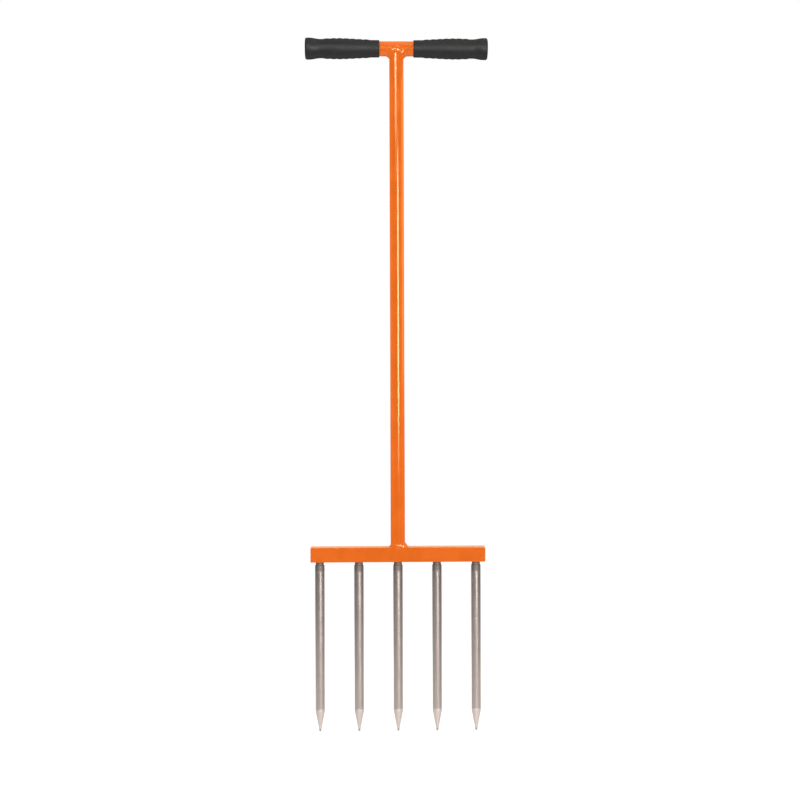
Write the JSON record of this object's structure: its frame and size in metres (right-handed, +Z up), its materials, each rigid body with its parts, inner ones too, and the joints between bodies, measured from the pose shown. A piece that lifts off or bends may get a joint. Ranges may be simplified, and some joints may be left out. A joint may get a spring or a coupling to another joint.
{
  "type": "soil loosener",
  "caption": "Welded T-handled hand tool: a tube shaft between a handle with rubber grips and a square cross bar with round pointed tines, pushed in to loosen and air soil or turf.",
  "frame": {"origin": "at the level of the tine points, in line with the shaft's axis", "axes": "+Z up along the shaft towards the handle, +X along the cross bar to the right of someone facing the front, +Y towards the back"},
  "size_m": [0.273, 0.032, 1.038],
  "materials": {
    "orange_paint": "glossy powder coat on welded steel",
    "bare_steel": "bare drawn steel bar with a freshly turned, lighter point",
    "black_rubber": "satin moulded rubber"
  },
  "bodies": {
    "root": {"handle_tube": "orange_paint", "shaft_tube": "orange_paint", "head_bar": "orange_paint", "handle_weld": "orange_paint", "foot_weld": "orange_paint", "tine_1": "bare_steel", "tine_2": "bare_steel", "tine_3": "bare_steel", "tine_4": "bare_steel", "tine_5": "bare_steel", "grip_left": "black_rubber", "grip_right": "black_rubber"}
  },
  "joints": []
}
